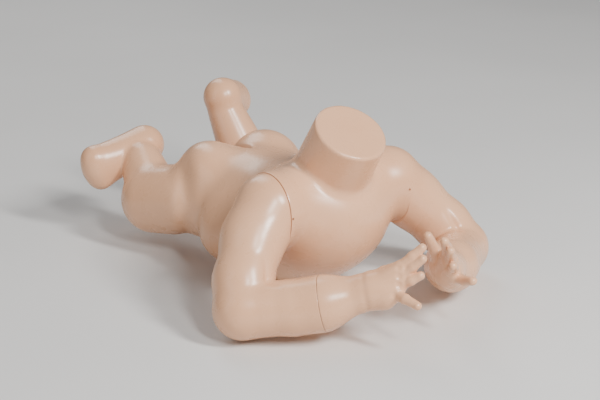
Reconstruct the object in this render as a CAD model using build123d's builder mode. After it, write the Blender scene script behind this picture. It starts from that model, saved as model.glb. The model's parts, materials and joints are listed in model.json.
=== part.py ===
"""A headless infant display mannequin that lies on its belly, with arms and hands that come off.

Millimetres, +Z up, -Y towards the neck, +X to the mannequin's left. The origin is on the floor,
under the centre of the bounding box. Every y below is counted from the centre of the neck.
"""

from build123d import *
import os
from math import cos, radians, sin

os.makedirs("parts", exist_ok=True)

# Driving dimensions
NECK_Y = -103.9  # the neck's centre, from the origin
NECK_HEIGHT = 183.0
NECK_TILT = 32.0  # degrees that the neck's flat top leans forward
NECK_HALF = (35.0, 40.0)  # half width and half depth of the neck's top
WALL = 3.5  # moulded shell
GLUE = 0.15  # resin line between a bonded block and its shell
SEAM_GAP = 0.4  # open seam between the body and an arm, and an arm and a hand
SIDES = {"right": -1, "left": 1}

# Skeleton of the left side: x outward, y from the neck, z from the floor
SHOULDER = (77.0, 34.0, 109.0)
SHOULDER_HALF = (32.0, 34.0)
ELBOW = (138.0, -10.0, 30.0)
UPPER_ARM = (  # centre, way it faces, half width and half height of each section below the shoulder
    ((86, 32, 105), (0.96, -0.13, -0.23), 32, 34),
    ((98, 27, 93), (0.86, -0.26, -0.44), 31, 32.5),
    ((112, 18, 74), (0.66, -0.38, -0.65), 30, 30),
    (ELBOW, (0.47, -0.48, -0.74), 27.5, 27.5),
)
WRIST = (52.0, -88.0, 54.0)
FOREARM_SEAM = 0.63  # share of the way from the elbow to the wrist
ELBOW_R, FOREARM_R, WRIST_R = 29.0, 23.5, 17.5
HIP = (50.0, 212.0, 66.0)
HIP_HALF = (43.0, 46.0)
LEGS = {
    "right": {"knee": (71, 272, 56), "calf": (56, 300, 78), "ankle": (38, 332, 94), "toe": (98, 338, 75)},
    "left": {"knee": (70, 270, 56), "calf": (64, 290, 92), "ankle": (54, 304, 132), "toe": (95, 336, 120)},
}

# Shoulder fitting, counted outward from the shoulder seam
SHOULDER_WALL = 6.0
BLOCK_DEPTH = 14.0
PLATE_R, PLATE_T = 18.0, 3.0
FLANGE_R, FLANGE_T = 12.0, 1.5
HUB_R, HUB_END = 8.0, 30.0
HUB_FIT = 0.05
WASHER_T, NUT_T, NUT_FLATS = 2.0, 6.0, 24.0
PEG, PEG_LENGTH, PEG_FIT = 8.0, 24.0, 0.1
ARM_PLATE_R, ARM_PLATE_T, ARM_WALL, ARM_BLOCK_DEPTH = 16.0, 2.5, 5.0, 9.0
ARM_BLOCK = (SHOULDER[0] + SEAM_GAP + ARM_WALL, 33, 105)
ARM_BLOCK_HALF = (20.0, 22.0)
SET_SCREW_R = 1.2

# Wrist fitting, counted from the forearm seam towards the hand
SOCKET_R, SOCKET_T, FOREARM_WALL, FOREARM_BLOCK_DEPTH = 13.0, 2.0, 4.0, 9.0
HAND_PEG, HAND_PEG_LENGTH = 6.0, 14.0
HAND_PLATE_R, HAND_PLATE_T = 12.0, 2.0


def at(x, y, z):
    """A point whose y is counted from the neck."""
    return Vector(x, y + NECK_Y, z)


def on_side(side, point):
    """A point of the left side, or its mirror image on the right."""
    x, y, z = point
    return at(SIDES[side] * x, y, z)


def section(centre, normal, half_width, half_height):
    """The plane and the two radii of one elliptical section, its width level."""
    normal = Vector(*normal).normalized()
    level = Vector(0, 0, 1).cross(normal)
    return Plane(origin=centre, x_dir=level, z_dir=normal), half_width, half_height


def form(sections, inset=0.0, start=0.0, stop=0.0):
    """A solid through elliptical sections, drawn in all round, and at its two ends."""
    shifts = [start] + [0.0] * (len(sections) - 2) + [-stop]
    with BuildPart() as body:
        for (plane, half_width, half_height), shift in zip(sections, shifts):
            with BuildSketch(plane.offset(shift)):
                Ellipse(half_width - inset, half_height - inset)
        loft()
    return body.part


def ball(centre, radius):
    """A sphere at a point."""
    with BuildPart() as body:
        with Locations(centre):
            Sphere(radius)
    return body.part


def save(piece, label):
    """Label a finished piece and write it to its own file."""
    piece.part.label = label
    export_step(piece.part, f"parts/{label}.step")


def bolts(plane, places, radius, head, length, top=0.0):
    """Countersunk screws with their heads flush at a height, as separate solids."""
    with BuildPart() as screws:
        for x, y in places:
            with Locations(plane.offset(top - head + radius) * Location((x, y, 0))):
                Cone(radius, head, head - radius, align=(Align.CENTER, Align.CENTER, Align.MIN))
                Cylinder(radius, length, align=(Align.CENTER, Align.CENTER, Align.MAX))
    return screws


def ring(count, radius, first=0.0):
    """Places spread evenly round a circle."""
    angles = [radians(first + 360 / count * i) for i in range(count)]
    return [(radius * cos(a), radius * sin(a)) for a in angles]


# The trunk, from the chest back to the seat: y, height of its middle, half width, half height
TRUNK = [
    section(at(0, y, middle), (0, 1, 0), wide, high)
    for y, middle, wide, high in (
        (-24, 114, 16, 9),
        (-14, 112, 40, 24),
        (4, 106, 60, 42),
        (32, 94, 71, 60),
        (72, 72, 76, 72),
        (112, 66, 77, 67),
        (152, 69, 74, 60),
        (192, 78, 76, 52),
        (226, 84, 62, 40),
        (242, 84, 36, 22),
    )
]
YOKE = [
    section(at(x, y, z), (1, 0, 0), deep, high)
    for x, y, z, deep, high in (
        (-SHOULDER[0], SHOULDER[1], SHOULDER[2], *SHOULDER_HALF),
        (-36, 37, 114, 34, 38),
        (36, 37, 114, 34, 38),
        (SHOULDER[0], SHOULDER[1], SHOULDER[2], *SHOULDER_HALF),
    )
]
NECK_NORMAL = (0, -sin(radians(NECK_TILT)), cos(radians(NECK_TILT)))
CAP_T, SPIGOT = 4.0, 6.0
NECK_TOP = Plane(origin=at(0, 0, NECK_HEIGHT), x_dir=(1, 0, 0), z_dir=NECK_NORMAL)
NECK = [
    section(at(0, 46, 120), NECK_NORMAL, 46, 48),
    section(at(0, 22, 152), NECK_NORMAL, 38, 43),
    (NECK_TOP.offset(-CAP_T), *NECK_HALF),
]


def hip_normal(side):
    """The way that a thigh leaves the hip seam."""
    hip, knee = (on_side(side, p) for p in (HIP, LEGS[side]["knee"]))
    return knee - hip


def shoulder_plane(side):
    """The shoulder seam, facing outward."""
    return Plane(origin=on_side(side, SHOULDER), x_dir=(0, 1, 0), z_dir=(SIDES[side], 0, 0))


def forearm_direction(side):
    """The way from the elbow to the wrist."""
    return (on_side(side, WRIST) - on_side(side, ELBOW)).normalized()


def forearm_plane(side):
    """The forearm seam, facing the hand."""
    elbow, wrist = on_side(side, ELBOW), on_side(side, WRIST)
    return section(elbow + (wrist - elbow) * FOREARM_SEAM, forearm_direction(side), 1, 1)[0]


def hip_stub(side):
    """The short start of a thigh that belongs to the trunk."""
    normal = hip_normal(side)
    return [
        section(on_side(side, (36, 176, 68)), normal, 42, 48),
        section(on_side(side, HIP), normal, *HIP_HALF),
    ]


def bores(side):
    """What is cut from the trunk at a shoulder: the plate's recess, the hub's and set screw's holes."""
    plane = shoulder_plane(side)
    with BuildPart() as cut:
        with BuildSketch(plane):
            Circle(PLATE_R)
        extrude(amount=-PLATE_T)
        with BuildSketch(plane):
            Circle(HUB_R + 6 * HUB_FIT)
        extrude(amount=-SHOULDER_WALL - BLOCK_DEPTH)
        with BuildSketch(set_screw_plane(side)):
            Circle(SET_SCREW_R + HUB_FIT)
        extrude(amount=SHOULDER_HALF[0])
        add(bolts(plane, ring(3, 15.1), 1.5, 2.6, 12.0).part)
    return cut.part


def set_screw_plane(side):
    """The axis of the screw that locks the shoulder, from the hub's flange to the front."""
    inside = SHOULDER[0] - PLATE_T / 2
    start = on_side(side, (inside, SHOULDER[1] - FLANGE_R - HUB_FIT, SHOULDER[2]))
    return Plane(origin=start, x_dir=(1, 0, 0), z_dir=(0, -1, 0))


# Trunk shell: outside, less the hollow, open at the hips and the neck
trunk_out, trunk_in = form(TRUNK), form(TRUNK, WALL, WALL, WALL)
yoke_out, yoke_in = form(YOKE), form(YOKE, WALL, SHOULDER_WALL, SHOULDER_WALL)
neck_out, neck_in = form(NECK), form(NECK, WALL)
stubs_out = [form(hip_stub(side)) for side in SIDES]
stubs_in = [form(hip_stub(side), WALL) for side in SIDES]
shoulder_cuts = [bores(side) for side in SIDES]
with BuildPart() as torso_shell:
    add(trunk_out)
    add([yoke_out, neck_out, *stubs_out])
    add([trunk_in, yoke_in, neck_in, *stubs_in], mode=Mode.SUBTRACT)
    add(shoulder_cuts, mode=Mode.SUBTRACT)
    split(bisect_by=Plane.XY, keep=Keep.TOP)
save(torso_shell, "torso_shell")

with BuildPart() as neck_cap:
    with BuildSketch(NECK_TOP):
        Ellipse(*NECK_HALF)
    extrude(amount=-CAP_T)
    fillet(neck_cap.edges().sort_by(Axis(NECK_TOP.origin, NECK_TOP.z_dir))[-1], 1.8)
    with BuildSketch(NECK_TOP.offset(-CAP_T)):
        Ellipse(*(half - WALL - GLUE for half in NECK_HALF))
        Ellipse(*(half - 2 * WALL for half in NECK_HALF), mode=Mode.SUBTRACT)
    extrude(amount=-SPIGOT)
save(neck_cap, "neck_cap")


def leg_forms(side, inset=0.0):
    """The thigh, knee, calf, ankle and foot of one leg, drawn in by the wall for the hollow."""
    hip, knee, calf, ankle, toe = (on_side(side, p) for p in (HIP, *LEGS[side].values()))
    sole = toe - ankle
    thigh = [
        section(hip, hip_normal(side), *HIP_HALF),
        section((hip + knee) * 0.5, hip_normal(side), 41, 43),
        section(knee, hip_normal(side), 36, 37),
    ]
    shin = [
        section(knee, calf - knee, 33, 33),
        section(calf, ankle - knee, 30, 31),
        section(ankle, ankle - calf, 20, 21),
    ]
    foot = [
        section(ankle - sole * 0.2, sole, 16, 17),
        section(ankle + sole * 0.5, sole, 18, 16),
        section(toe, sole, 16, 10),
        section(toe + sole * 0.08, sole, 11, 6),
    ]
    pieces = [form(thigh, inset), ball(knee, 38 - inset), form(shin, inset)]
    if inset:
        return pieces
    return pieces + [ball(ankle, 21.5), form(foot), ball(ankle - sole * 0.2, 17.5)]


for side in SIDES:
    outside, inside = leg_forms(side), leg_forms(side, WALL)
    with BuildPart() as leg_shell:
        add(outside)
        add([*inside, trunk_out], mode=Mode.SUBTRACT)
        split(bisect_by=section(on_side(side, HIP), hip_normal(side), 1, 1)[0], keep=Keep.TOP)
    save(leg_shell, f"{side}_leg_shell")


# Shoulder fittings, in the trunk: block, plate and screws stay still, hub and nut turn
for side in SIDES:
    plane, cut = shoulder_plane(side), bores(side)
    with BuildPart() as shoulder_block:
        with BuildSketch(plane.offset(-SHOULDER_WALL)):
            Ellipse(*(half - WALL - 2 for half in SHOULDER_HALF))
        extrude(amount=-BLOCK_DEPTH)
        add(cut, mode=Mode.SUBTRACT)
    save(shoulder_block, f"{side}_shoulder_block")

    with BuildPart() as shoulder_plate:
        with BuildSketch(plane):
            Circle(PLATE_R)
        extrude(amount=-PLATE_T)
        with BuildSketch(plane):
            Circle(FLANGE_R + 4 * HUB_FIT)
        extrude(amount=-FLANGE_T - 4 * HUB_FIT, mode=Mode.SUBTRACT)
        with BuildSketch(plane):
            Circle(HUB_R + HUB_FIT)
        extrude(amount=-PLATE_T, mode=Mode.SUBTRACT)
        with BuildSketch(set_screw_plane(side)):
            Circle(SET_SCREW_R + HUB_FIT)
        extrude(amount=SHOULDER_HALF[0], mode=Mode.SUBTRACT)
        add(bolts(plane, ring(3, 15.1), 1.5, 2.6, 12.0).part, mode=Mode.SUBTRACT)
    save(shoulder_plate, f"{side}_shoulder_plate")
    save(bolts(plane, ring(3, 15.1), 1.5, 2.6, 12.0), f"{side}_shoulder_plate_screws")

    with BuildPart() as set_screw:
        with BuildSketch(set_screw_plane(side)):
            Circle(SET_SCREW_R)
        extrude(amount=SHOULDER_HALF[0] - FLANGE_R - 2)
        with BuildSketch(set_screw_plane(side).offset(SHOULDER_HALF[0] - FLANGE_R - 2)):
            RegularPolygon(SET_SCREW_R / 2, 6)
        extrude(amount=-2, mode=Mode.SUBTRACT)
    save(set_screw, f"{side}_shoulder_set_screw")

    nut_face = -SHOULDER_WALL - BLOCK_DEPTH - WASHER_T
    with BuildPart() as friction_washer:
        with BuildSketch(plane.offset(nut_face)):
            Circle(NUT_FLATS / 2 + 1)
            Circle(HUB_R + 2 * HUB_FIT, mode=Mode.SUBTRACT)
        extrude(amount=WASHER_T)
    save(friction_washer, f"{side}_friction_washer")

    with BuildPart() as shoulder_hub:
        with BuildSketch(plane.offset(-2 * HUB_FIT)):
            Circle(FLANGE_R)
        extrude(amount=-FLANGE_T)
        with BuildSketch(plane.offset(-2 * HUB_FIT)):
            Circle(HUB_R)
        extrude(amount=-HUB_END)
        with BuildSketch(plane):
            Rectangle(PEG + 2 * PEG_FIT, PEG + 2 * PEG_FIT)
        extrude(amount=-HUB_END - 1, mode=Mode.SUBTRACT)
    save(shoulder_hub, f"{side}_shoulder_hub")

    with BuildPart() as hub_nut:
        with BuildSketch(plane.offset(nut_face - HUB_FIT)):
            RegularPolygon(NUT_FLATS / 2, 6, major_radius=False)
            Circle(HUB_R, mode=Mode.SUBTRACT)
        extrude(amount=-NUT_T)
    save(hub_nut, f"{side}_hub_nut")


def flipped(plane):
    """The same plane, facing the other way."""
    return Plane(origin=plane.origin, x_dir=plane.x_dir, z_dir=-plane.z_dir)


def arm_forms(side, inset=0.0):
    """The upper arm, elbow and forearm, from the shoulder seam to the forearm seam."""
    elbow, end, out = on_side(side, ELBOW), forearm_plane(side), SIDES[side]
    upper_arm = [(shoulder_plane(side).offset(SEAM_GAP), *SHOULDER_HALF)]
    for centre, (x, y, z), half_width, half_height in UPPER_ARM:
        upper_arm.append(section(on_side(side, centre), (out * x, y, z), half_width, half_height))
    forearm = [
        section(elbow, end.z_dir, 27, 27),
        section((elbow + end.origin) * 0.5, end.z_dir, 26, 26),
        (end, FOREARM_R, FOREARM_R),
    ]
    face_wall, end_wall = (ARM_WALL, FOREARM_WALL) if inset else (0, 0)
    bend = ball(elbow, ELBOW_R - inset)
    return form(upper_arm, inset, face_wall), bend, form(forearm, inset, 0, end_wall)


def peg_plate(plane, radius, thickness, peg, length):
    """A round plate with a square peg welded through it, the plate behind the plane's face."""
    with BuildPart() as plate:
        with BuildSketch(plane):
            Circle(radius - HUB_FIT)
        extrude(amount=thickness)
        with BuildSketch(plane):
            Rectangle(peg, peg)
        extrude(amount=-length)
        chamfer(plate.faces().sort_by(Axis(plane.origin, plane.z_dir))[0].edges(), 0.8)
    return plate.part


def digit(side, points, radii):
    """A finger or thumb: tapered lengths with a round joint at each point."""
    points = [on_side(side, p) for p in points]
    with BuildPart() as finger:
        for a, b, start, end in zip(points, points[1:], radii, radii[1:]):
            for place, radius in ((a, start), (b, end)):
                with BuildSketch(Plane(origin=place, z_dir=b - a)):
                    Circle(radius)
            loft()
        for place, radius in zip(points, radii):
            with Locations(place):
                Sphere(radius + 0.05)
    return finger.part


DIGITS = (
    (((33, -104, 82), (25, -113, 95), (14, -121, 104)), (8.5, 7.5, 6)),
    (((30, -108, 76), (24, -118, 86), (16, -130, 95)), (8.5, 7.5, 6)),
    (((30, -112, 69), (24, -124, 75), (18, -133, 78)), (8.5, 7.5, 6)),
    (((38, -110, 62), (38, -128, 59), (33, -143, 60)), (8.5, 7.5, 6)),
)
THUMBS = {
    "right": ((44, -86, 64), (35, -90, 72), (25, -97, 77)),
    "left": ((44, -84, 66), (34, -86, 84), (24, -92, 97)),
}
THUMB_RADII = (11, 8.5, 6.5)

# Arms and hands
for side in SIDES:
    face, end = shoulder_plane(side).offset(SEAM_GAP), forearm_plane(side)
    hand_face = end.offset(SEAM_GAP)
    arm_screws = bolts(flipped(face), ring(3, 11.5, 60), 1.5, 2.6, 9.0)
    socket_screws = bolts(end, [(-9, 0), (9, 0)], 1.25, 2.2, 8.0)
    hand_screws = bolts(flipped(hand_face), [(-8, 0), (8, 0)], 1.25, 2.2, 8.0)
    save(arm_screws, f"{side}_arm_plate_screws")
    save(socket_screws, f"{side}_wrist_socket_screws")
    save(hand_screws, f"{side}_hand_plate_screws")
    block_depth = SOCKET_T + FOREARM_WALL + FOREARM_BLOCK_DEPTH
    with BuildPart() as socket_hole:
        with BuildSketch(end):
            Rectangle(HAND_PEG + 2 * PEG_FIT, HAND_PEG + 2 * PEG_FIT)
        extrude(amount=-block_depth)
        add(socket_screws.part)

    with BuildPart() as arm_shell:
        add(arm_forms(side))
        add([*arm_forms(side, WALL), arm_screws.part, socket_hole.part], mode=Mode.SUBTRACT)
        with BuildSketch(face):
            Circle(ARM_PLATE_R)
        extrude(amount=ARM_PLATE_T, mode=Mode.SUBTRACT)
        with BuildSketch(end):
            Circle(SOCKET_R)
        extrude(amount=-SOCKET_T, mode=Mode.SUBTRACT)
    save(arm_shell, f"{side}_arm_shell")

    with BuildPart() as arm_block:
        with BuildSketch(section(on_side(side, ARM_BLOCK), face.z_dir, 1, 1)[0]):
            Ellipse(*ARM_BLOCK_HALF)
        extrude(amount=ARM_BLOCK_DEPTH)
        add(arm_screws.part, mode=Mode.SUBTRACT)
    save(arm_block, f"{side}_arm_block")

    with BuildPart() as arm_peg_plate:
        add(peg_plate(face, ARM_PLATE_R, ARM_PLATE_T, PEG, PEG_LENGTH))
        add(arm_screws.part, mode=Mode.SUBTRACT)
    save(arm_peg_plate, f"{side}_arm_peg_plate")

    with BuildPart() as forearm_block:
        add(arm_forms(side, WALL + GLUE)[2])
        split(bisect_by=end.offset(-FOREARM_WALL - FOREARM_BLOCK_DEPTH), keep=Keep.TOP)
        add(socket_hole.part, mode=Mode.SUBTRACT)
    save(forearm_block, f"{side}_forearm_block")

    with BuildPart() as wrist_socket_plate:
        with BuildSketch(end):
            Circle(SOCKET_R - HUB_FIT)
        extrude(amount=-SOCKET_T)
        add(socket_hole.part, mode=Mode.SUBTRACT)
    save(wrist_socket_plate, f"{side}_wrist_socket_plate")

    with BuildPart() as hand_peg_plate:
        add(peg_plate(hand_face, HAND_PLATE_R, HAND_PLATE_T, HAND_PEG, HAND_PEG_LENGTH))
        add(hand_screws.part, mode=Mode.SUBTRACT)
    save(hand_peg_plate, f"{side}_hand_peg_plate")

    palm = [
        (hand_face, FOREARM_R, FOREARM_R),
        section(on_side(side, WRIST), end.z_dir, WRIST_R, WRIST_R),
        section(on_side(side, (43, -97, 64)), end.z_dir, 13, 19),
        section(on_side(side, (33, -107, 72)), end.z_dir, 11, 19),
    ]
    digits = [digit(side, points, radii) for points, radii in (*DIGITS, (THUMBS[side], THUMB_RADII))]
    with BuildPart() as hand:
        add(form(palm))
        add(digits)
        with BuildSketch(hand_face):
            Circle(HAND_PLATE_R)
        extrude(amount=HAND_PLATE_T, mode=Mode.SUBTRACT)
        add(hand_screws.part, mode=Mode.SUBTRACT)
    save(hand, f"{side}_hand")
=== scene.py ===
"""Looks of a headless infant display mannequin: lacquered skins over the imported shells, and its fittings.

Each skin is the zero surface of a distance field, made of round shapes that melt into each other. The
skins are cut at the shoulders, the forearms and the neck's cap. Shapes are in millimetres. Their y is
counted from the centre of the neck's face, and their places are those of the left side.
"""
import json
import math

import bmesh
import bpy
import numpy as np
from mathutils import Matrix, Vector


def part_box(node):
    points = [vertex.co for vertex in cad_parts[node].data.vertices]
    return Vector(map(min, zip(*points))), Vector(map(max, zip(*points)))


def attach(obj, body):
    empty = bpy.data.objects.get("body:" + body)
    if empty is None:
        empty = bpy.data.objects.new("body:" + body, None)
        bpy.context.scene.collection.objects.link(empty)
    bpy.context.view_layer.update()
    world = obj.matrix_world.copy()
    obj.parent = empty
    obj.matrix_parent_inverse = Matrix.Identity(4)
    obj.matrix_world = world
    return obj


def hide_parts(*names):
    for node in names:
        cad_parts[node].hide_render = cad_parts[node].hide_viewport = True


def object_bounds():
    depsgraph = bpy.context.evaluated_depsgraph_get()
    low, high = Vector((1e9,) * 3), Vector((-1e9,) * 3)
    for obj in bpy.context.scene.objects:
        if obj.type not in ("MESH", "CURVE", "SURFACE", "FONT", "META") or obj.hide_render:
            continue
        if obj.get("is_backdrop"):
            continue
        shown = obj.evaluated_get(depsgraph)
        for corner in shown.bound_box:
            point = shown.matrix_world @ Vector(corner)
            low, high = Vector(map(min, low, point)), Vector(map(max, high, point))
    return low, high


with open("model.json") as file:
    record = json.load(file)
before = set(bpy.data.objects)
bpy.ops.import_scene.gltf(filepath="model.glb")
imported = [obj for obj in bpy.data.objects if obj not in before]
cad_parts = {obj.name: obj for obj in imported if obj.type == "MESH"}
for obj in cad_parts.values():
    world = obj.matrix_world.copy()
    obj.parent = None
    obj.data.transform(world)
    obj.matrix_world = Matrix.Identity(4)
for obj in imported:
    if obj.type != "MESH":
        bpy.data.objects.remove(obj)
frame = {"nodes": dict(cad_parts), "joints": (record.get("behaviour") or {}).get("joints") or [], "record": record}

import openvdb
from mathutils import Matrix, Vector

cad_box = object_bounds()
MM = 0.001
SIDES = {"right": -1, "left": 1}

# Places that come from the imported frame
MOUNTS = {mount["name"]: mount for mount in frame["record"]["mounts"]}
JOINTS = {joint["name"]: joint for joint in frame["joints"]}
NECK = np.array(MOUNTS["neck_face"]["pos_m"]) / MM
NECK_NORMAL = np.array(MOUNTS["neck_face"]["axis"])
ORIGIN = np.array([0.0, NECK[1], 0.0])
NECK_TOP = NECK - ORIGIN
SEAM_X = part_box("left_shoulder_plate")[1].x / MM
SHOULDER_AXIS = np.array(JOINTS["left_shoulder_turn"]["pos_m"]) / MM - ORIGIN
HAND_WAY = np.array(JOINTS["left_hand_pull"]["axis"])

# The forearm's seam lies a share of the way from the elbow to the wrist
ELBOW, WRIST = np.array([138.0, -10.0, 30.0]), np.array([52.0, -88.0, 54.0])
SEAM_SHARE = 0.63
FOREARM_SEAM = ELBOW + (WRIST - ELBOW) * SEAM_SHARE
SEAM_GAP = 0.4

# The neck's cap, and how far it and the skin below it overlap
CAP_DEPTH = 4.0
CAP_LAP = 0.06

BODY_STEP, LIMB_STEP, HAND_STEP = 1.7, 1.5, 1.0
COARSER = 1.0


# Fields: distance to a shape, negative inside
def cone(p, a, b, start, end):
    """A limb between two balls."""
    a, b = np.array(a, float), np.array(b, float)
    length = np.linalg.norm(b - a)
    way = (b - a) / length
    along = (p - a) @ way
    out = np.sqrt(np.maximum(((p - a) ** 2).sum(-1) - along**2, 0))
    slope = (start - end) / length
    run = math.sqrt(1 - slope**2)
    where = along * run - out * slope
    body = out * run + along * slope - start
    body = np.where(where < 0, np.hypot(out, along) - start, body)
    return np.where(where > run * length, np.hypot(out, along - length) - end, body)


def egg(p, centre, radii, axes=None):
    """An ellipsoid, its own axes the columns of a matrix."""
    p = p - np.array(centre, float)
    if axes is not None:
        p = p @ axes
    radii = np.array(radii, float)
    near = np.sqrt(((p / radii) ** 2).sum(-1))
    far = np.sqrt(((p / radii**2) ** 2).sum(-1))
    return near * (near - 1) / np.maximum(far, 1e-9)


def melt(a, b, width):
    """Two shapes that flow together over a width."""
    h = np.maximum(width - np.abs(a - b), 0) / width
    return np.minimum(a, b) - h * h * width / 4


def trim(a, b, width):
    """What two shapes share, its edge rounded over a width."""
    return -melt(-a, -b, width)


def fold(p, side, centre, way, reach, depth, width):
    """A soft crease round a limb: how far the skin dips at a plane, fading away from a centre."""
    way = mirrored(side, *way)
    way = way / np.linalg.norm(way)
    off = p - mirrored(side, *centre)
    fade = np.exp(-(((off**2).sum(-1)) / reach**2) ** 2)
    return depth * fade * np.exp(-((off @ way / width) ** 2))


def spot(p, centre, depth, width):
    """A small round dimple when it is added to a field, or a swelling when it is taken away."""
    return depth * np.exp(-((((p - centre) ** 2).sum(-1) / width**2) ** 2))


def tilt_x(degrees):
    """Axes turned about the side-to-side axis."""
    c, s = math.cos(math.radians(degrees)), math.sin(math.radians(degrees))
    return np.array([[1, 0, 0], [0, c, -s], [0, s, c]])


def mirrored(side, *point):
    """A left-side point, or its mirror image."""
    return np.array([SIDES[side] * point[0], *point[1:]], float)


def stretch(p, side, start, end):
    """A limb between two balls, each a place and a radius, or its mirror image."""
    return cone(p, mirrored(side, *start[0]), mirrored(side, *end[0]), start[1], end[1])


def lump(p, side, centre, radii):
    """An upright ellipsoid, or its mirror image."""
    return egg(p, mirrored(side, *centre), radii)


# The trunk's ellipsoids: centre and radii
CHEST = ((0, 42, 84), (72, 58, 55))
CHEST_TILT = -16
BELLY = ((0, 92, 66), (76, 74, 66))
LOINS = ((0, 142, 48), (84, 48, 48))
SEAT = ((0, 172, 72), (68, 62, 54))
BUTTOCK = ((37, 200, 88), (41, 46, 44))
# The balls at the ends of the yoke
YOKE = (((22, 42, 110), 38), ((77, 35, 109), 35))
# The cleft of the seat: middle, half length, half width, depth and the height above which it shows
CLEFT_MIDDLE, CLEFT_LENGTH, CLEFT_WIDTH, CLEFT_DEPTH, CLEFT_FLOOR = 208, 30, 4, 10, 80
# The neck's stump: its axis counted from the face's centre, how far it runs down and up, and its radii
NECK_SHIFT = (0, 2, 1.2)
NECK_DOWN, NECK_UP = 68, 9
NECK_RADII = (40, 37.5)


def trunk(p):
    """Chest, belly, seat, shoulders and neck."""
    body = egg(p, *CHEST, tilt_x(CHEST_TILT))
    body = melt(body, egg(p, *BELLY), 36)
    body = melt(body, egg(p, *LOINS), 26)
    body = melt(body, egg(p, *SEAT), 35)
    for side in SIDES:
        body = melt(body, stretch(p, side, *YOKE), 18)
        body = melt(body, shoulder(p, side), 8)
        body = melt(body, lump(p, side, *BUTTOCK), 12)
    across, along = p[..., 0] / CLEFT_WIDTH, (p[..., 1] - CLEFT_MIDDLE) / CLEFT_LENGTH
    cleft = CLEFT_DEPTH * np.exp(-(across**2 + along**4))
    body = body + np.where(p[..., 2] > CLEFT_FLOOR, cleft, 0)
    axis = NECK_TOP + NECK_SHIFT
    stump = cone(p, axis - NECK_NORMAL * NECK_DOWN, axis + NECK_NORMAL * NECK_UP, *NECK_RADII)
    return melt(body, stump, 7)


# Each leg: its knee, the end of its calf, its heel, and the two corners of its toes
LEGS = {
    "right": ((70, 266, 55), (58, 310, 84), (41, 333, 98), (108, 335, 94), (99, 335, 69)),
    "left": ((66, 264, 54), (51, 300, 131), (50, 304, 147), (76, 325, 143), (82, 322, 130)),
}
HIP = (46, 200, 68)
THIGH_RADII = (42, 38)
CALF_RADII = {"right": (33, 24), "left": (33, 21)}
HEEL_RADIUS, BIG_TOE_RADIUS, SMALL_TOE_RADIUS = 14.5, 11, 11.5
SOLE_RADII = (15, 14)


def leg(p, side):
    """Thigh, knee, calf and foot."""
    knee, calf, heel, big_toe, small_toe = (mirrored(side, *point) for point in LEGS[side])
    shape = cone(p, mirrored(side, *HIP), knee, *THIGH_RADII)
    shape = melt(shape, cone(p, knee, calf, *CALF_RADII[side]), 6)
    return melt(shape, foot(p, heel, big_toe, small_toe), 4)


def foot(p, heel, big_toe, small_toe):
    """The foot's two edges, the sole between them, and the row of its toes."""
    shape = cone(p, heel, big_toe, HEEL_RADIUS, BIG_TOE_RADIUS)
    shape = melt(shape, cone(p, heel, small_toe, HEEL_RADIUS, SMALL_TOE_RADIUS), 18)
    shape = melt(shape, cone(p, heel, (big_toe + small_toe) / 2, *SOLE_RADII), 22)
    return melt(shape, cone(p, big_toe, small_toe, BIG_TOE_RADIUS, SMALL_TOE_RADIUS), 8)


# Down the arm, ball by ball: place and radius
SHOULDER_BALL = ((77, 35, 110), 36)
UPPER_BALL = ((104, 26, 86), 31)
LOWER_BALL = ((131, 5, 55), 29)
ELBOW_BALL = ((143, -11, 33), 29)
FOREARM_BALL = ((104, -43, 36), 26)
CUFF_BALL = ((84, -60, 41), 24.6)
WRIST_BALL = (WRIST, 16.5)
PALM_BALL = ((48, -93, 58), 16)
# Each fold: its centre, the way across it, its reach, its depth and its width
HIP_FOLD = ((72, 198, 70), (0.84, 0.54, 0), 55, 5, 10)
ELBOW_FOLD = ((131, -11, 56), (0.854, -0.268, 0.446), 26, 2.5, 3.5)
WRIST_FOLD = (WRIST, HAND_WAY, 30, 0.7, 3)


def shoulder(p, side):
    """The top of the upper arm, shared by the trunk and the arm so that their skins meet."""
    return stretch(p, side, SHOULDER_BALL, UPPER_BALL)


def arm(p, side):
    """Shoulder, upper arm, elbow and the whole forearm."""
    shape = melt(shoulder(p, side), stretch(p, side, UPPER_BALL, LOWER_BALL), 10)
    shape = melt(shape, stretch(p, side, LOWER_BALL, ELBOW_BALL), 8)
    shape = melt(shape, stretch(p, side, ELBOW_BALL, FOREARM_BALL), 4)
    shape = melt(shape, stretch(p, side, FOREARM_BALL, CUFF_BALL), 8)
    shape = shape + fold(p, side, *ELBOW_FOLD)
    return melt(shape, stretch(p, side, CUFF_BALL, WRIST_BALL), 14)
# Each finger: its knuckle, its joint and its tip
FINGERS = (
    ((30, -112, 82), (22, -119, 93), (14, -124, 102)),
    ((31, -114, 74), (24, -122, 84), (17.5, -129, 93)),
    ((32, -115, 66), (27, -124, 72), (20.5, -130, 77)),
    ((38, -115, 57), (38, -129, 57), (35, -143, 59)),
)
FINGER_RADII = (6.0, 4.9, 4.2)
# How far the last finger's tip is lowered
DROOP = {"right": 5, "left": -3}
THUMBS = {
    "right": ((44, -88, 62), (34, -92, 72), (25, -98, 77)),
    "left": ((42, -91, 62), (31, -92, 80), (22, -92, 96)),
}
THUMB_RADII = (9, 5.6, 4.5)
PALM_PAD = ((43, -103, 53), (12, 14, 14))
# From the palm to each knuckle
WEB_RADII = (14, 7.2)
# The way the back of the hand faces; each dimple's and nail's height along it, depth and width
HAND_BACK = (0.78, -0.54, 0.31)
DIMPLE_HEIGHT, DIMPLE_DEPTH, DIMPLE_WIDTH = 8.5, 1.1, 3
NAIL_HEIGHT, NAIL_DEPTH, NAIL_WIDTH = FINGER_RADII[-1], 0.5, 2.4


def digit(p, points, radii):
    """A finger or a thumb."""
    shape = cone(p, points[0], points[1], radii[0], radii[1])
    return melt(shape, cone(p, points[1], points[2], radii[1], radii[2]), 2)


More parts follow.
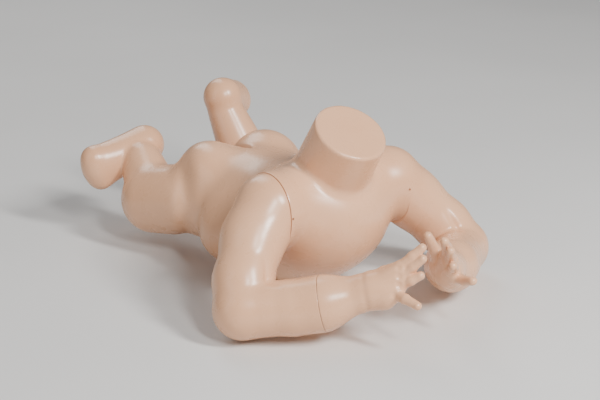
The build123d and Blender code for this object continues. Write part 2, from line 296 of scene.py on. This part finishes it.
def hand(p, side):
    """Wrist, palm, four fingers and the thumb."""
    palm = mirrored(side, *PALM_BALL[0])
    shape = stretch(p, side, WRIST_BALL, PALM_BALL)
    shape = melt(shape, lump(p, side, *PALM_PAD), 8)
    for finger in FINGERS:
        shape = melt(shape, cone(p, palm, mirrored(side, *finger[0]), *WEB_RADII), 6)
    back = mirrored(side, *HAND_BACK)
    for finger in FINGERS:
        points = [mirrored(side, *point) for point in finger]
        if finger is FINGERS[-1]:
            points[-1] = points[-1] - (0, 0, DROOP[side])
        shape = melt(shape, digit(p, points, FINGER_RADII), 1.2)
        shape = shape + spot(p, points[0] + back * DIMPLE_HEIGHT, DIMPLE_DEPTH, DIMPLE_WIDTH)
        shape = shape - spot(p, points[-1] + back * NAIL_HEIGHT, NAIL_DEPTH, NAIL_WIDTH)
    points = [mirrored(side, *point) for point in THUMBS[side]]
    return melt(shape, digit(p, points, THUMB_RADII), 4)


def body_field(p):
    """The trunk with both legs, cut flat at the neck and where the belly rests."""
    shape = trunk(p)
    for side in SIDES:
        shape = melt(shape, leg(p, side), 8)
        shape = shape + fold(p, side, *HIP_FOLD)
    shape = trim(shape, (p - NECK_TOP) @ NECK_NORMAL, 3)
    return trim(shape, -p[..., 2], 3)


def limb_field(side):
    """One arm with its hand, cut flat where the forearm rests."""

    def field(p):
        shape = melt(arm(p, side), hand(p, side), 8)
        shape = shape + fold(p, side, *WRIST_FOLD)
        return trim(shape, -p[..., 2], 2)

    return field


# Meshes: cells along a block's edge, how much nearer than its own size a block counts as near the
# surface, and the sides of a round cutter
CELLS = 12
MARGIN = 6
DRILL_SIDES = 64


def grow(name, field, low, high, step):
    """A mesh on the surface where a field is zero. Blocks far from the surface aren't worked out."""
    step *= COARSER
    low, high = np.array(low, float), np.array(high, float)
    block = CELLS * step
    counts = np.ceil((high - low) / block).astype(int)
    corners = low + block * np.stack(np.meshgrid(*map(np.arange, counts), indexing="ij"), -1)
    rough = field(corners + block / 2)
    values = np.repeat(np.repeat(np.repeat(rough, CELLS, 0), CELLS, 1), CELLS, 2)
    inside = step * np.stack(np.meshgrid(*[np.arange(CELLS)] * 3, indexing="ij"), -1)
    for i, j, k in np.argwhere(np.abs(rough) < block + MARGIN):
        at = tuple(slice(n * CELLS, (n + 1) * CELLS) for n in (i, j, k))
        values[at] = field(corners[i, j, k] + inside)
    grid = openvdb.FloatGrid()
    grid.copyFromArray(values.astype(np.float32))
    points, quads = grid.convertToQuads(isovalue=0.0)
    points = (points * step + low + ORIGIN) * MM
    mesh = bpy.data.meshes.new(name)
    mesh.from_pydata(points.tolist(), [], quads[:, ::-1].tolist())
    mesh.validate()
    piece = bpy.data.objects.new(name, mesh)
    bpy.context.scene.collection.objects.link(piece)
    return piece


def tool(low, high, axes=None, place=(0, 0, 0)):
    """A box to cut with: its corners along its own axes, from a place counted from the neck."""
    made = bmesh.new()
    bmesh.ops.create_cube(made, size=1)
    low, high = np.array(low, float), np.array(high, float)
    axes = np.eye(3) if axes is None else axes
    for vert in made.verts:
        local = (np.array(vert.co) + 0.5) * (high - low) + low
        vert.co = Vector((axes @ local + np.array(place) + ORIGIN) * MM)
    return finish_tool(made)


def drill(place, way, radius, start, stop):
    """A round bar to cut with, from start to stop along its axis."""
    made = bmesh.new()
    size = {"radius1": radius * MM, "radius2": radius * MM, "depth": (stop - start) * MM}
    bmesh.ops.create_cone(made, cap_ends=True, segments=DRILL_SIDES, **size)
    turn = Vector(way).to_track_quat("Z", "Y").to_matrix().to_4x4()
    middle = (np.array(place) + np.array(way) * (start + stop) / 2 + ORIGIN) * MM
    made.transform(Matrix.Translation(Vector(middle)) @ turn)
    return finish_tool(made)


def finish_tool(made):
    """The cutting tool as an object."""
    bmesh.ops.recalc_face_normals(made, faces=made.faces)
    mesh = bpy.data.meshes.new("tool")
    made.to_mesh(mesh)
    made.free()
    cutter = bpy.data.objects.new("tool", mesh)
    bpy.context.scene.collection.objects.link(cutter)
    return cutter


def cut(piece, *cutters, keep=False):
    """Take each cutter away from a piece, or keep only what is inside it."""
    for cutter in cutters:
        step = piece.modifiers.new("cut", "BOOLEAN")
        step.operation = "INTERSECT" if keep else "DIFFERENCE"
        step.solver = "MANIFOLD"
        step.object = cutter
        bpy.context.view_layer.update()
        shown = piece.evaluated_get(bpy.context.evaluated_depsgraph_get())
        mesh = bpy.data.meshes.new_from_object(shown)
        piece.modifiers.clear()
        piece.data = mesh
        bpy.data.objects.remove(cutter)
    return piece


# A seam's rim: how far from its centre and from the cut it is looked for, how far behind the cut the
# extra loop lies, how far the rim is drawn in, and how near the cut a point counts as on it
RIM_RADIUS, RIM_BAND, RIM_BACK, RIM_DRAW, ON_CUT = 60, 6, 0.8, 0.2, 0.02


def ease(piece, place, way, centre):
    """Round the edge of a seam: one more loop just behind the cut, and the cut's rim drawn in."""
    made = bmesh.new()
    made.from_mesh(piece.data)
    way = Vector(way)
    place = Vector((np.array(place) + ORIGIN) * MM)
    centre = Vector((np.array(centre) + ORIGIN) * MM)
    near = [f for f in made.faces if abs((f.calc_center_median() - place).dot(way)) < RIM_BAND * MM]
    near = [f for f in near if (f.calc_center_median() - centre).length < RIM_RADIUS * MM]
    around = {v for f in near for v in f.verts} | {e for f in near for e in f.edges} | set(near)
    bmesh.ops.bisect_plane(made, geom=list(around), plane_co=place - way * RIM_BACK * MM, plane_no=way)
    for vert in made.verts:
        off = vert.co - place
        if abs(off.dot(way)) < ON_CUT * MM and (vert.co - centre).length < RIM_RADIUS * MM:
            inward = centre - vert.co
            inward -= way * inward.dot(way)
            vert.co += inward.normalized() * RIM_DRAW * MM
    made.to_mesh(piece.data)
    made.free()
    return piece


def shade(piece, degrees=40):
    """Smooth shading, broken at hard edges."""
    for face in piece.data.polygons:
        face.use_smooth = True
    piece.data.set_sharp_from_angle(angle=math.radians(degrees))


# Materials
def node_material(name):
    """A new material, its nodes and its shader."""
    material = bpy.data.materials.new(name)
    material.use_nodes = True
    nodes, links = material.node_tree.nodes, material.node_tree.links
    return material, nodes, links, nodes["Principled BSDF"]


def mottle(nodes, links, scale, detail, colours, target):
    """Noise between colours into a socket."""
    place = nodes.new("ShaderNodeTexCoord")
    noise = nodes.new("ShaderNodeTexNoise")
    noise.inputs["Scale"].default_value = scale
    noise.inputs["Detail"].default_value = detail
    ramp = nodes.new("ShaderNodeValToRGB")
    ramp.color_ramp.elements[0].position, ramp.color_ramp.elements[1].position = 0.3, 0.7
    for stop, colour in zip(ramp.color_ramp.elements, colours):
        stop.color = (*colour, 1)
    links.new(place.outputs["Object"], noise.inputs["Vector"])
    links.new(noise.outputs["Fac"], ramp.inputs["Fac"])
    links.new(ramp.outputs["Color"], target)


def bump(nodes, links, shader, scale, strength, distance, stretch=(1, 1, 1)):
    """Fine relief."""
    place = nodes.new("ShaderNodeTexCoord")
    mapping = nodes.new("ShaderNodeMapping")
    mapping.inputs["Scale"].default_value = stretch
    noise = nodes.new("ShaderNodeTexNoise")
    noise.inputs["Scale"].default_value = scale
    noise.inputs["Detail"].default_value = 3
    relief = nodes.new("ShaderNodeBump")
    relief.inputs["Strength"].default_value = strength
    relief.inputs["Distance"].default_value = distance
    links.new(place.outputs["Object"], mapping.inputs["Vector"])
    links.new(mapping.outputs["Vector"], noise.inputs["Vector"])
    links.new(noise.outputs["Fac"], relief.inputs["Height"])
    links.new(relief.outputs["Normal"], shader.inputs["Normal"])


def lacquer():
    """Satin sprayed skin tone: faint clouding, faint orange peel."""
    material, nodes, links, shader = node_material("body_lacquer")
    tones = ((0.76, 0.41, 0.23), (0.81, 0.46, 0.27))
    gloss = ((0.25, 0.25, 0.25), (0.31, 0.31, 0.31))
    mottle(nodes, links, scale=14, detail=4, colours=tones, target=shader.inputs["Base Color"])
    mottle(nodes, links, scale=60, detail=3, colours=gloss, target=shader.inputs["Roughness"])
    bump(nodes, links, shader, scale=900, strength=0.05, distance=0.0002)
    shader.inputs["Coat Weight"].default_value = 0.15
    shader.inputs["Coat Roughness"].default_value = 0.3
    return material


def metal(name, light, dark, roughness, stretch):
    """Brushed or turned steel."""
    material, nodes, links, shader = node_material(name)
    mottle(nodes, links, scale=240, detail=4, colours=(dark, light), target=shader.inputs["Base Color"])
    shader.inputs["Metallic"].default_value = 1
    shader.inputs["Roughness"].default_value = roughness
    bump(nodes, links, shader, scale=700, strength=0.15, distance=0.0002, stretch=stretch)
    return material


def plywood():
    """Bare birch ply: pale veneers and darker glue lines."""
    material, nodes, links, shader = node_material("plywood")
    place = nodes.new("ShaderNodeTexCoord")
    wave = nodes.new("ShaderNodeTexWave")
    wave.bands_direction = "X"
    wave.inputs["Scale"].default_value = 110
    wave.inputs["Distortion"].default_value = 1.5
    wave.inputs["Detail"].default_value = 3
    ramp = nodes.new("ShaderNodeValToRGB")
    ramp.color_ramp.elements[0].color = (0.36, 0.22, 0.11, 1)
    ramp.color_ramp.elements[1].color = (0.62, 0.45, 0.27, 1)
    links.new(place.outputs["Object"], wave.inputs["Vector"])
    links.new(wave.outputs["Fac"], ramp.inputs["Fac"])
    links.new(ramp.outputs["Color"], shader.inputs["Base Color"])
    shader.inputs["Roughness"].default_value = 0.75
    bump(nodes, links, shader, scale=400, strength=0.2, distance=0.0003, stretch=(1, 8, 1))
    return material


def nylon():
    """Natural nylon."""
    material, nodes, links, shader = node_material("nylon")
    tones = ((0.72, 0.70, 0.62), (0.78, 0.76, 0.69))
    mottle(nodes, links, scale=90, detail=2, colours=tones, target=shader.inputs["Base Color"])
    shader.inputs["Roughness"].default_value = 0.5
    bump(nodes, links, shader, scale=500, strength=0.1, distance=0.0002)
    return material


MATERIALS = {
    "body_lacquer": lacquer(),
    "plywood": plywood(),
    "nylon": nylon(),
    "zinc_screws": metal("zinc_screws", (0.66, 0.66, 0.62), (0.55, 0.55, 0.52), 0.32, (1, 1, 1)),
    "turned_steel": metal("turned_steel", (0.6, 0.6, 0.6), (0.5, 0.5, 0.5), 0.28, (6, 1, 1)),
    "plate_steel": metal("plate_steel", (0.63, 0.63, 0.62), (0.5, 0.5, 0.49), 0.36, (1, 10, 1)),
}


def dress(piece, slot):
    """Give a piece its slot's material."""
    piece.data.materials.clear()
    piece.data.materials.append(MATERIALS[slot])


# Skins
def finish_piece(piece, body, *nodes):
    """Shade a skin, dress it, and hang it on its body in place of its CAD nodes."""
    shade(piece)
    dress(piece, "body_lacquer")
    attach(piece, body)
    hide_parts(*nodes)


def duplicate(piece, name):
    """A second object with its own copy of a mesh."""
    double = bpy.data.objects.new(name, piece.data.copy())
    bpy.context.scene.collection.objects.link(double)
    return double


# Recesses and bores at the seams: radius, and where they start and stop along their axis
SHOULDER_PLATE_RECESS = (18.05, -3.02, 2)
HUB_BORE = (8.4, -30, 2)
SET_SCREW_HOLE = (1.3, 25, 50)
SET_SCREW_INSET = 1.5
ARM_PLATE_RECESS = (16.05, -1, 2.52)
SOCKET_PLATE_RECESS = (13.05, -2.02, 1)
HAND_PLATE_RECESS = (12.05, -1, 2.02)


def side_box(side, low, high):
    """The corners of a box, or of its mirror image."""
    near, far = sorted((SIDES[side] * low[0], SIDES[side] * high[0]))
    return (near, *low[1:]), (far, *high[1:])


def axes_along(way):
    """Axes that end with a given one; the first is level."""
    level = np.cross((0, 0, 1), way)
    level /= np.linalg.norm(level)
    return np.column_stack([level, np.cross(way, level), way])


def make_body():
    """The trunk with the legs, and the neck's cap."""
    skin = grow("body_skin", body_field, (-150, -90, -12), (150, 380, 222), BODY_STEP)
    for side, out in SIDES.items():
        cut(skin, tool(*side_box(side, (SEAM_X, -120, 40), (260, 110, 260))))
        centre, outward = mirrored(side, *SHOULDER_AXIS), (out, 0, 0)
        ease(skin, centre, outward, centre)
        cut(skin, drill(centre, outward, *SHOULDER_PLATE_RECESS))
        cut(skin, drill(centre, outward, *HUB_BORE))
        cut(skin, drill(centre - (out * SET_SCREW_INSET, 0, 0), (0, -1, 0), *SET_SCREW_HOLE))
    axes = axes_along(NECK_NORMAL)
    cap = duplicate(skin, "neck_cap_skin")
    cut(cap, tool((-60, -70, -CAP_DEPTH), (60, 70, 20), axes, NECK_TOP), keep=True)
    cut(skin, tool((-60, -70, CAP_LAP - CAP_DEPTH), (60, 70, 20), axes, NECK_TOP))
    finish_piece(skin, "torso", "torso_shell", "right_leg_shell", "left_leg_shell")
    finish_piece(cap, "torso", "neck_cap")


def make_limb(side):
    """One arm and its hand: the same field grown twice, and each kept on its side of the forearm seam."""
    field = limb_field(side)
    limb = grow(f"{side}_arm_skin", field, *side_box(side, (2, -156, -8), (176, 72, 158)), LIMB_STEP)
    palm = grow(f"{side}_hand_skin", field, *side_box(side, (2, -156, 14), (176, -20, 124)), HAND_STEP)
    way, seam = mirrored(side, *HAND_WAY), mirrored(side, *FOREARM_SEAM)
    hand_seam = seam + way * SEAM_GAP
    axes = axes_along(way)
    cut(palm, tool((-90, -90, -200), (90, 90, SEAM_GAP), axes, seam))
    cut(limb, tool((-90, -90, 0), (90, 90, 200), axes, seam))
    cut(limb, tool(*side_box(side, (0, -24, 40), (SEAM_X + SEAM_GAP, 100, 200))))
    out = SIDES[side]
    face = mirrored(side, *SHOULDER_AXIS) + (out * SEAM_GAP, 0, 0)
    ease(limb, face, (-out, 0, 0), face)
    ease(limb, seam, way, seam)
    ease(palm, hand_seam, -way, seam)
    cut(limb, drill(face, (out, 0, 0), *ARM_PLATE_RECESS))
    cut(limb, drill(seam, way, *SOCKET_PLATE_RECESS))
    cut(palm, drill(hand_seam, way, *HAND_PLATE_RECESS))
    finish_piece(limb, f"{side}_arm", f"{side}_arm_shell")
    finish_piece(palm, f"{side}_hand", f"{side}_hand")


def make_fittings():
    """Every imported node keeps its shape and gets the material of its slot."""
    slots = {part["node"]: part["material_slot"] for part in frame["record"]["subparts"]}
    for name, node in frame["nodes"].items():
        dress(node, slots[name])


# Stage, in metres. Each light: its place, its width and its power
LIGHTS = {
    "key": ((0.35, -1.6, 1.4), 0.25, 44),
    "second": ((-0.45, -1.75, 1.4), 0.25, 26),
    "fill": ((-1.8, 0.1, 0.9), 0.8, 6),
    "back": ((0.4, 1.5, 1.6), 0.7, 14),
}
LIGHT_AIM = (0, 0, 0.08)
LIGHT_LENGTH = 2.5
FLOOR_HALF = 6.0


def make_camera():
    """A long lens from the front right, a little above."""
    place = np.array([-904.0, -1113.0, 606.0])
    turn, rise = 37, 19
    data = bpy.data.cameras.new("camera")
    data.lens, data.sensor_width = 90, 36
    camera = bpy.data.objects.new("camera", data)
    camera.location = (place + ORIGIN) * MM
    camera.rotation_euler = (math.radians(90 - rise), 0, math.radians(-turn))
    bpy.context.scene.collection.objects.link(camera)
    bpy.context.scene.camera = camera


def make_light(name, place, width, power):
    """A soft panel, longer than it is wide, that faces the model."""
    data = bpy.data.lights.new(name, "AREA")
    data.shape, data.energy = "RECTANGLE", power
    data.size, data.size_y = width, LIGHT_LENGTH * width
    light = bpy.data.objects.new(name, data)
    light.location = place
    light.rotation_euler = (Vector(LIGHT_AIM) - Vector(place)).to_track_quat("-Z", "Y").to_euler()
    bpy.context.scene.collection.objects.link(light)


def make_stage():
    """A plain pale floor and soft light."""
    mesh = bpy.data.meshes.new("floor")
    corners = [(x * FLOOR_HALF, y * FLOOR_HALF, 0) for x, y in ((-1, -1), (1, -1), (1, 1), (-1, 1))]
    mesh.from_pydata(corners, [], [(0, 1, 2, 3)])
    floor = bpy.data.objects.new("floor", mesh)
    bpy.context.scene.collection.objects.link(floor)
    material, nodes, links, shader = node_material("floor")
    tones = ((0.70, 0.69, 0.67), (0.73, 0.72, 0.70))
    mottle(nodes, links, scale=3, detail=2, colours=tones, target=shader.inputs["Base Color"])
    shader.inputs["Roughness"].default_value = 0.8
    mesh.materials.append(material)
    floor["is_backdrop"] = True
    world = bpy.data.worlds.new("studio")
    world.use_nodes = True
    world.node_tree.nodes["Background"].inputs["Color"].default_value = (0.97, 0.97, 1.0, 1)
    world.node_tree.nodes["Background"].inputs["Strength"].default_value = 0.22
    bpy.context.scene.world = world
    for name, light in LIGHTS.items():
        make_light(name, *light)


make_camera()
make_stage()
make_body()
for side in SIDES:
    make_limb(side)
make_fittings()

sizes = {"cad": cad_box, "model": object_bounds()}
{name: [list(corner) for corner in box] for name, box in sizes.items()}
